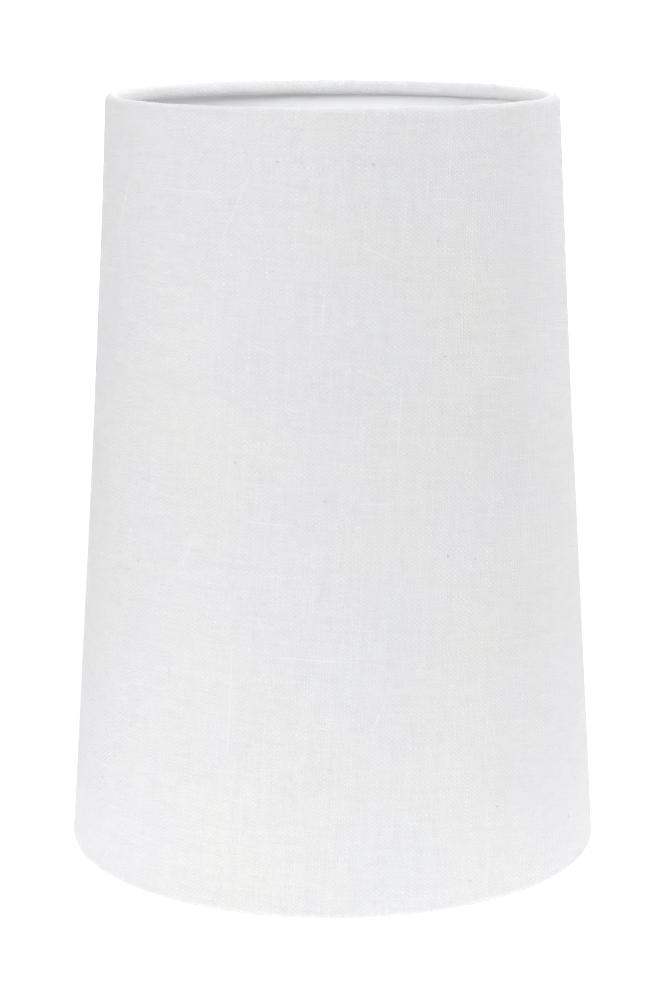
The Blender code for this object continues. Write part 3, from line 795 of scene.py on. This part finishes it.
def slab(name, loop, low, high, finish, facing, edge=0.25 * MM):
    """A plate from its outline: flat faces, and edges rounded by a quarter circle. It faces along X or Z."""
    ahead, behind = np.roll(loop, -1, 0), np.roll(loop, 1, 0)
    run = ahead - behind
    inward = np.column_stack([-run[:, 1], run[:, 0]])
    inward /= np.linalg.norm(inward, axis=1, keepdims=True)
    inward *= np.sign((loop[:, 0] * ahead[:, 1] - loop[:, 1] * ahead[:, 0]).sum())
    edge = min(edge, (high - low) * 0.45)
    turn = np.linspace(0, math.pi / 2, 5)
    insets = edge * (1 - np.sin(turn))
    levels = edge * (1 - np.cos(turn))
    section = [*zip(insets, low + levels), *zip(insets[::-1], high - levels[::-1])]
    rows = []
    for inset, level in section:
        flat = loop + inward * inset
        across = np.full(len(loop), level)
        rows.append(np.column_stack([across, flat] if facing == "X" else [flat, across]))
    return surface(name, np.stack(rows), finish, sharp=40)


def box_outline(low, high, radius):
    """A rectangle between two corners, with rounded corners."""
    (left, bottom), (right, top) = low, high
    return even(softened([(left, bottom), (right, bottom), (right, top), (left, top)], radius, 7))


PIVOT_HEIGHT = PIVOT[2]
HOLE = 1.65 * MM  # radius of the rivet's hole
SHELF_TOP = 9.33 * MM
SHELF_THICKNESS = 1.2 * MM
LUG_WIDTH = 6 * MM
WELD_GAP = 0.25 * MM
WING_BASE = 0.5 * MM  # above the pivot
FITTER_BORE = 21 * MM  # radius
REDUCER_BORE = 14.5 * MM  # radius


def bracket(side, word, finish):
    """A bracket: a plate with the rivet's hole, the lug that is welded to the ring, and the wings' stop."""
    node = f"pivot_bracket_{word}"
    low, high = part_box(node)
    eye = high[2] - PIVOT_HEIGHT
    _, washer_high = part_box("pivot_washer_right")
    plate_low, plate_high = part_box("gimbal_plate_right")
    thickness = plate_high[0] - plate_low[0]
    inner = washer_high[0] + 0.2 * MM
    outer = inner + thickness
    reach = max(abs(low[0]), abs(high[0]))
    turn = np.linspace(0, math.pi, 40)
    foot = low[2] - PIVOT_HEIGHT
    corners = softened([(-eye, 0), (-eye, foot), (eye, foot), (eye, 0)], 1.2 * MM, 7)[7:21]
    outline = even(np.vstack([corners, np.column_stack([eye * np.cos(turn), eye * np.sin(turn)])]))
    angle = np.arctan2(outline[:, 1], outline[:, 0])
    hole = HOLE * np.column_stack([np.cos(angle), np.sin(angle)])
    lift = np.array([0, PIVOT_HEIGHT])
    faces = sorted((side * inner, side * outer))
    parts = [pressed_plate(f"bracket_plate_{word}", outline + lift, hole + lift, *faces, finish)]
    stop = sorted((side * plate_low[0], side * (outer - WELD_GAP)))
    shelf = box_outline((stop[0], low[1]), (stop[1], high[1]), 0.7 * MM)
    parts.append(slab(f"bracket_stop_{word}", shelf, SHELF_TOP - SHELF_THICKNESS, SHELF_TOP, finish, "Z"))
    ends = sorted((side * (outer - thickness / 2), side * reach))
    lug_ends = ((-LUG_WIDTH / 2, low[2] + WELD_GAP), (LUG_WIDTH / 2, BOTTOM_HEIGHT + RING_WIRE))
    lug = box_outline(*lug_ends, 0.5 * MM)
    parts.append(slab(f"bracket_lug_{word}", lug, *ends, finish, "X"))
    for index, across in enumerate((-LUG_WIDTH / 2, LUG_WIDTH / 2)):
        middle = (side * (reach + 0.1 * MM), across, BOTTOM_HEIGHT)
        size = (2.2 * MM, 1.5 * MM, 2.0 * MM)
        parts.append(bead(f"ring_weld_{word}_{index + 1}", middle, size, finish, 40 + index + side))
    for index, across in enumerate((-eye, eye)):
        middle = (side * inner, across * 0.98, SHELF_TOP - SHELF_THICKNESS / 2)
        size = (1.1 * MM, 1.3 * MM, 1.5 * MM)
        parts.append(bead(f"stop_weld_{word}_{index + 1}", middle, size, finish, 50 + index + side))
    for part in parts:
        fitted(part, "shade", "coated_steel", node)


def rivet(side, word, finish):
    """A rivet: a shank, a made head whose dome is an ellipse outside, and a flatter hammered head inside."""
    node = f"pivot_rivet_{word}"
    low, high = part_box(node)
    near, far = sorted((abs(low[0]), abs(high[0])))
    head = (high[2] - low[2]) / 2
    shank, cap = 1.4 * MM, 1.0 * MM
    seat, bed = far - cap, near + cap
    rim, flat_rim = 0.15 * MM, 0.2 * MM
    turn = np.linspace(0.04, math.pi / 2, 10)
    dome = [(head * math.sin(a), seat + rim + (cap - rim) * math.cos(a)) for a in turn]
    hammered = [
        (head * math.sin(a) ** 0.6, bed - flat_rim - (cap - flat_rim) * math.cos(a)) for a in turn[::-1]
    ]
    outline = [*dome, (head, seat), (shank * 1.05, seat), (shank, seat - 0.2 * MM), (shank, bed + 0.2 * MM),
               (shank * 1.05, bed), (head, bed), *hammered]
    outline = [(radius, side * level) for radius, level in outline]
    centre = (0, 0, PIVOT_HEIGHT)
    fitted(turned(node + "_pin", outline, finish, centre, "X", 48, "fan"), "shade", "rivet_steel", node)


def washer(side, word, finish):
    """A friction washer: a rectangle with rounded corners, turned about the pivot."""
    node = f"pivot_washer_{word}"
    low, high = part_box(node)
    outline = box_outline((HOLE, low[0]), ((high[2] - low[2]) / 2, high[0]), 0.12 * MM)
    made = turned(node + "_disc", outline, finish, (0, 0, PIVOT_HEIGHT), "X", 64)
    fitted(made, "shade", "fibre", node)


def gimbal_plate(side, word, finish):
    """The gimbal's end plate: a round eye about the rivet, two wings, and the rivet's hole."""
    node = f"gimbal_plate_{word}"
    low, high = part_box(node)
    wing, top, eye = high[1], high[2] - PIVOT_HEIGHT, PIVOT_HEIGHT - low[2]
    turn = np.linspace(math.pi + 0.25, TURN - 0.25, 40)
    arc = np.column_stack([eye * np.cos(turn), eye * np.sin(turn)])
    right_wing = [(eye, WING_BASE), (wing, WING_BASE), (wing, top)]
    left_wing = [(-across, level) for across, level in right_wing[::-1]]
    wings = softened([*right_wing, *left_wing], 0.9 * MM, 7)
    outline = even(np.vstack([arc, wings]), 200)
    angle = np.arctan2(outline[:, 1], outline[:, 0]) % TURN
    wound = np.interp(angle, [0, math.pi, TURN], np.radians([25, 155, 385]))
    hole = HOLE * np.column_stack([np.cos(wound), np.sin(wound)])
    lift = np.array([0, PIVOT_HEIGHT])
    made = pressed_plate(node + "_sheet", outline + lift, hole + lift, low[0], high[0], finish)
    fitted(made, "gimbal", "coated_steel", node)


def gimbal_wire(front, word, finish):
    """A gimbal wire: up from one plate, over to the fitter ring, round its edge and down to the other plate.

    The bends are parabolas, and the whole path is then eased by averaging neighbouring points.
    """
    node = f"gimbal_wire_{word}"
    low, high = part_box(node)
    _, plate_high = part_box("gimbal_plate_right")
    ring_low, ring_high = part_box("fitter_ring")
    level = (ring_low[2] + ring_high[2]) / 2
    radius = 1.3 * MM
    away, spread = high[0] - radius, min(abs(low[1]), abs(high[1])) + radius
    arc_radius = ring_high[0] + WELD_GAP + radius
    reach = math.hypot(away, spread)
    wrap = math.pi / 2 - (math.acos(arc_radius / reach) - math.atan2(spread, away))
    turn = np.linspace(-wrap, wrap, 60)
    hug = np.column_stack([arc_radius * np.sin(turn), arc_radius * np.cos(turn), np.full(60, level)])
    foot = np.array([-away, spread, low[2] + radius * 0.5])
    knee = np.array([-away, spread, plate_high[2] - radius])
    toward = (hug[0] - knee) / np.linalg.norm(hug[0] - knee)
    bend = 5.5 * MM
    share = np.linspace(0, 1, 12)[:, None]
    start, end = knee - UP * bend * 0.9, knee + toward * bend
    curve = start * (1 - share) ** 2 + knee * 2 * share * (1 - share) + end * share**2
    half = np.vstack([foot[None], curve, hug[0][None]])
    other = half[::-1] * (-1, 1, 1)
    path = np.vstack([half, hug[1:-1], other])
    run = np.concatenate([[0], np.cumsum(np.linalg.norm(np.diff(path, axis=0), axis=1))])
    steps = np.linspace(0, run[-1], 260)
    path = np.column_stack([np.interp(steps, run, path[:, axis]) for axis in range(3)])
    for _ in range(6):
        path[1:-1] = (path[:-2] + path[1:-1] * 2 + path[2:]) / 4
    path[:, 1] *= front
    fitted(rod(node + "_rod", path, radius, finish, 24), "gimbal", "coated_steel", node)
    for side in (-1, 1):
        for index, height in enumerate((PIVOT_HEIGHT + 2.6 * MM, PIVOT_HEIGHT + 6.6 * MM)):
            middle = (side * (away + radius * 0.9), front * spread, height)
            size = (1.5 * MM, 2.9 * MM, 2.4 * MM)
            name = f"plate_weld_{word}_{'left' if side < 0 else 'right'}_{index + 1}"
            fitted(bead(name, middle, size, finish, 60 + index + side), "gimbal", "coated_steel", node)
    middle = (0, front * (ring_high[0] + WELD_GAP / 2), level)
    made = bead(f"ring_weld_{word}", middle, (6 * MM, 1.8 * MM, 1.9 * MM), finish, 70 + front)
    fitted(made, "gimbal", "coated_steel", node)


def fitter_ring(finish):
    """The fitter ring: a stamped washer, whose section is a rectangle with rounded corners."""
    low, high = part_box("fitter_ring")
    outline = box_outline((FITTER_BORE, low[2]), (high[0], high[2]), 0.45 * MM)
    made = turned("fitter_ring_washer", outline, finish, steps=160)
    fitted(made, "gimbal", "coated_steel", "fitter_ring")


def reducer_ring(finish):
    """The reducer: a flange, and a lip that stands up inside the fitter ring, with rounded corners."""
    low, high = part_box("reducer_ring")
    ring_low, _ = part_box("fitter_ring")
    flange_top = ring_low[2] - 0.2 * MM
    edge, lip, hole = high[0], FITTER_BORE - 0.25 * MM, REDUCER_BORE
    wall = 1.5 * MM
    corners = [(lip, high[2]), (lip, flange_top), (edge, flange_top), (edge, low[2]), (hole, low[2]),
               (hole, flange_top), (lip - wall, flange_top), (lip - wall, high[2])]
    outline = even(softened(corners, 0.35 * MM, 6), 120)
    made = turned("reducer_ring_moulding", outline, finish, steps=144)
    fitted(made, "reducer", "plastic", "reducer_ring")


# ---------------------------------------------------------------- the studio


def camera():
    """A long lens before the shade, a little above it."""
    data = bpy.data.cameras.new("camera")
    data.lens = 95.9
    data.sensor_width = 36
    made = bpy.data.objects.new("camera", data)
    made.location = (0, -0.985, 0.3451)
    made.rotation_euler = (math.radians(90 - 12.36), 0, 0)
    bpy.context.scene.collection.objects.link(made)
    bpy.context.scene.camera = made


# The sky, the glow of the floor round the shade and of the paper far behind it, and the lamps: azimuth and
# elevation in degrees, distance, size and power.
SKY = 0.05
PATCH_GLOW = 0.7
PATCH_RADIUS = 0.3
PATCH_CENTRE = (-0.03, -0.14, 0.0)
BACK_GLOW = 0.9
LAMPS = {
    "key": (-45, 25, 1.8, 0.6, 10.8),
    "left_side": (-100, 20, 1.8, 1.2, 6),
    "right_side": (100, 20, 1.8, 1.2, 7),
    "right_front": (65, 20, 1.8, 1.0, 0.4),
    "overhead_front": (8, 48, 1.6, 0.8, 12),
    "overhead_right": (90, 48, 1.8, 1.0, 11),
    "overhead_back": (180, 52, 1.6, 0.8, 6),
}


def sweep():
    """A pale floor that curves up into a backdrop. It glows in a patch round the shade, and far behind it."""
    rise = np.linspace(0, math.pi / 2, 16)[1:]
    depth = np.concatenate([np.linspace(-3, 1.4, 10), 1.4 + 0.8 * np.sin(rise), np.full(4, 2.2)])
    height = np.concatenate([np.zeros(10), 0.8 - 0.8 * np.cos(rise), np.linspace(0.9, 3.5, 4)])
    across = np.linspace(-3, 3, 5)
    columns = len(across)
    points = np.array([(x, y, z) for y, z in zip(depth, height) for x in across])
    starts = [row * columns + column for row in range(len(depth) - 1) for column in range(columns - 1)]
    faces = [(start, start + 1, start + columns + 1, start + columns) for start in starts]
    mesh = bpy.data.meshes.new("sweep")
    mesh.from_pydata(points, [], faces)
    mesh.shade_smooth()
    paper = Finish("backdrop_paper", Roughness=0.9, Specular_IOR_Level=0.1, Base_Color=(0.92, 0.92, 0.92))
    place = paper.place()
    between = {0: place, 1: PATCH_CENTRE}
    away = paper.node("ShaderNodeVectorMath", {"operation": "DISTANCE"}, between, "Value")
    _, behind, _ = paper.axes(place)
    glow = (1 - away.step(0.1, PATCH_RADIUS)) * PATCH_GLOW + behind.step(0.5, 1.2) * BACK_GLOW
    paper.set("Emission Strength", 1.0)
    paper.set("Emission Color", paper.point(glow, glow, glow))
    mesh.materials.append(paper.material)
    made = bpy.data.objects.new("sweep", mesh)
    bpy.context.scene.collection.objects.link(made)


def lamp(name, azimuth, elevation, distance, size, power):
    """A square soft light that faces the shade's middle."""
    data = bpy.data.lights.new(name, "AREA")
    data.size = size
    data.energy = power
    made = bpy.data.objects.new(name, data)
    turn, tilt = math.radians(azimuth), math.radians(elevation)
    level = distance * math.cos(tilt)
    made.location = (level * math.sin(turn), -level * math.cos(turn), 0.14 + distance * math.sin(tilt))
    made.rotation_euler = (math.pi / 2 - tilt, 0, turn)
    bpy.context.scene.collection.objects.link(made)


def studio():
    """A faint even sky and the lamps."""
    world = bpy.data.worlds.new("studio")
    world.use_nodes = True
    background = world.node_tree.nodes["Background"]
    background.inputs["Color"].default_value = (1.0, 1.0, 1.0, 1.0)
    background.inputs["Strength"].default_value = SKY
    bpy.context.scene.world = world
    for name, settings in LAMPS.items():
        lamp(name, *settings)
    bpy.context.scene.view_settings.view_transform = "Standard"


camera()
sweep()
studio()

LINEN = linen()
YARN = linen_yarn()
DUST_GREY = dust_grey()
STYRENE = styrene()
TAPE = tape()
COATED = coated_steel()
ZINC = zinc()
FIBRE = fibre()
PLASTIC = moulded_plastic()

cover, cover_uv = linen_cover(LINEN)
fitted(cover, "shade", "linen", "linen_cover")
weft_slubs = np.vstack([SLUBS, scattered(31, 26, 6, 22)])
thick_warps = np.vstack([THICK_WARPS, scattered(32, 12, 10, 30)])
yarns("weft_slubs", weft_slubs, 0.30 * MM, YARN, seed=1)
yarns("thick_warps", thick_warps, 0.27 * MM, YARN, along="warp", seed=2)
knots = np.vstack([KNOTS, scattered(33, 30, 0.6, 1.0)])
yarns("knots", knots, 0.36 * MM, YARN, seed=3, shape=(7, 8), ripple=0.1)
lint = np.vstack([LINT, scattered(34, 7, 3, 7)])
yarns("lint", lint, 0.07 * MM, YARN, curl=0.9, seed=4, shape=(21, 5), ripple=0.0)
dust = np.column_stack([DUST, np.full(len(DUST), 0.45)])
yarns("dust_specks", dust, 0.16 * MM, DUST_GREY, seed=5, shape=(5, 6), ripple=0.0)
fitted(liner_sheet(STYRENE), "shade", "liner", "liner_panel")
fitted(seam_tape(TAPE), "shade", "tape", "seam_tape")
fitted(wire_ring("top_ring_wire", TOP_RADIUS, TOP_HEIGHT, COATED), "shade", "coated_steel", "top_ring")
lower_ring = wire_ring("bottom_ring_wire", BOTTOM_RADIUS, BOTTOM_HEIGHT, COATED)
fitted(lower_ring, "shade", "coated_steel", "bottom_ring")

for side, word in ((-1, "left"), (1, "right")):
    bracket(side, word, COATED)
    rivet(side, word, ZINC)
    washer(side, word, FIBRE)
    gimbal_plate(side, word, COATED)
for front, word in ((-1, "front"), (1, "back")):
    gimbal_wire(front, word, COATED)
fitter_ring(COATED)
reducer_ring(PLASTIC)

# The flat panel is a ring's sector, from the tip of one hem to the tip of the other.
fans = np.hypot(cover_uv[..., 0], cover_uv[..., 1] + FAN_BOTTOM)
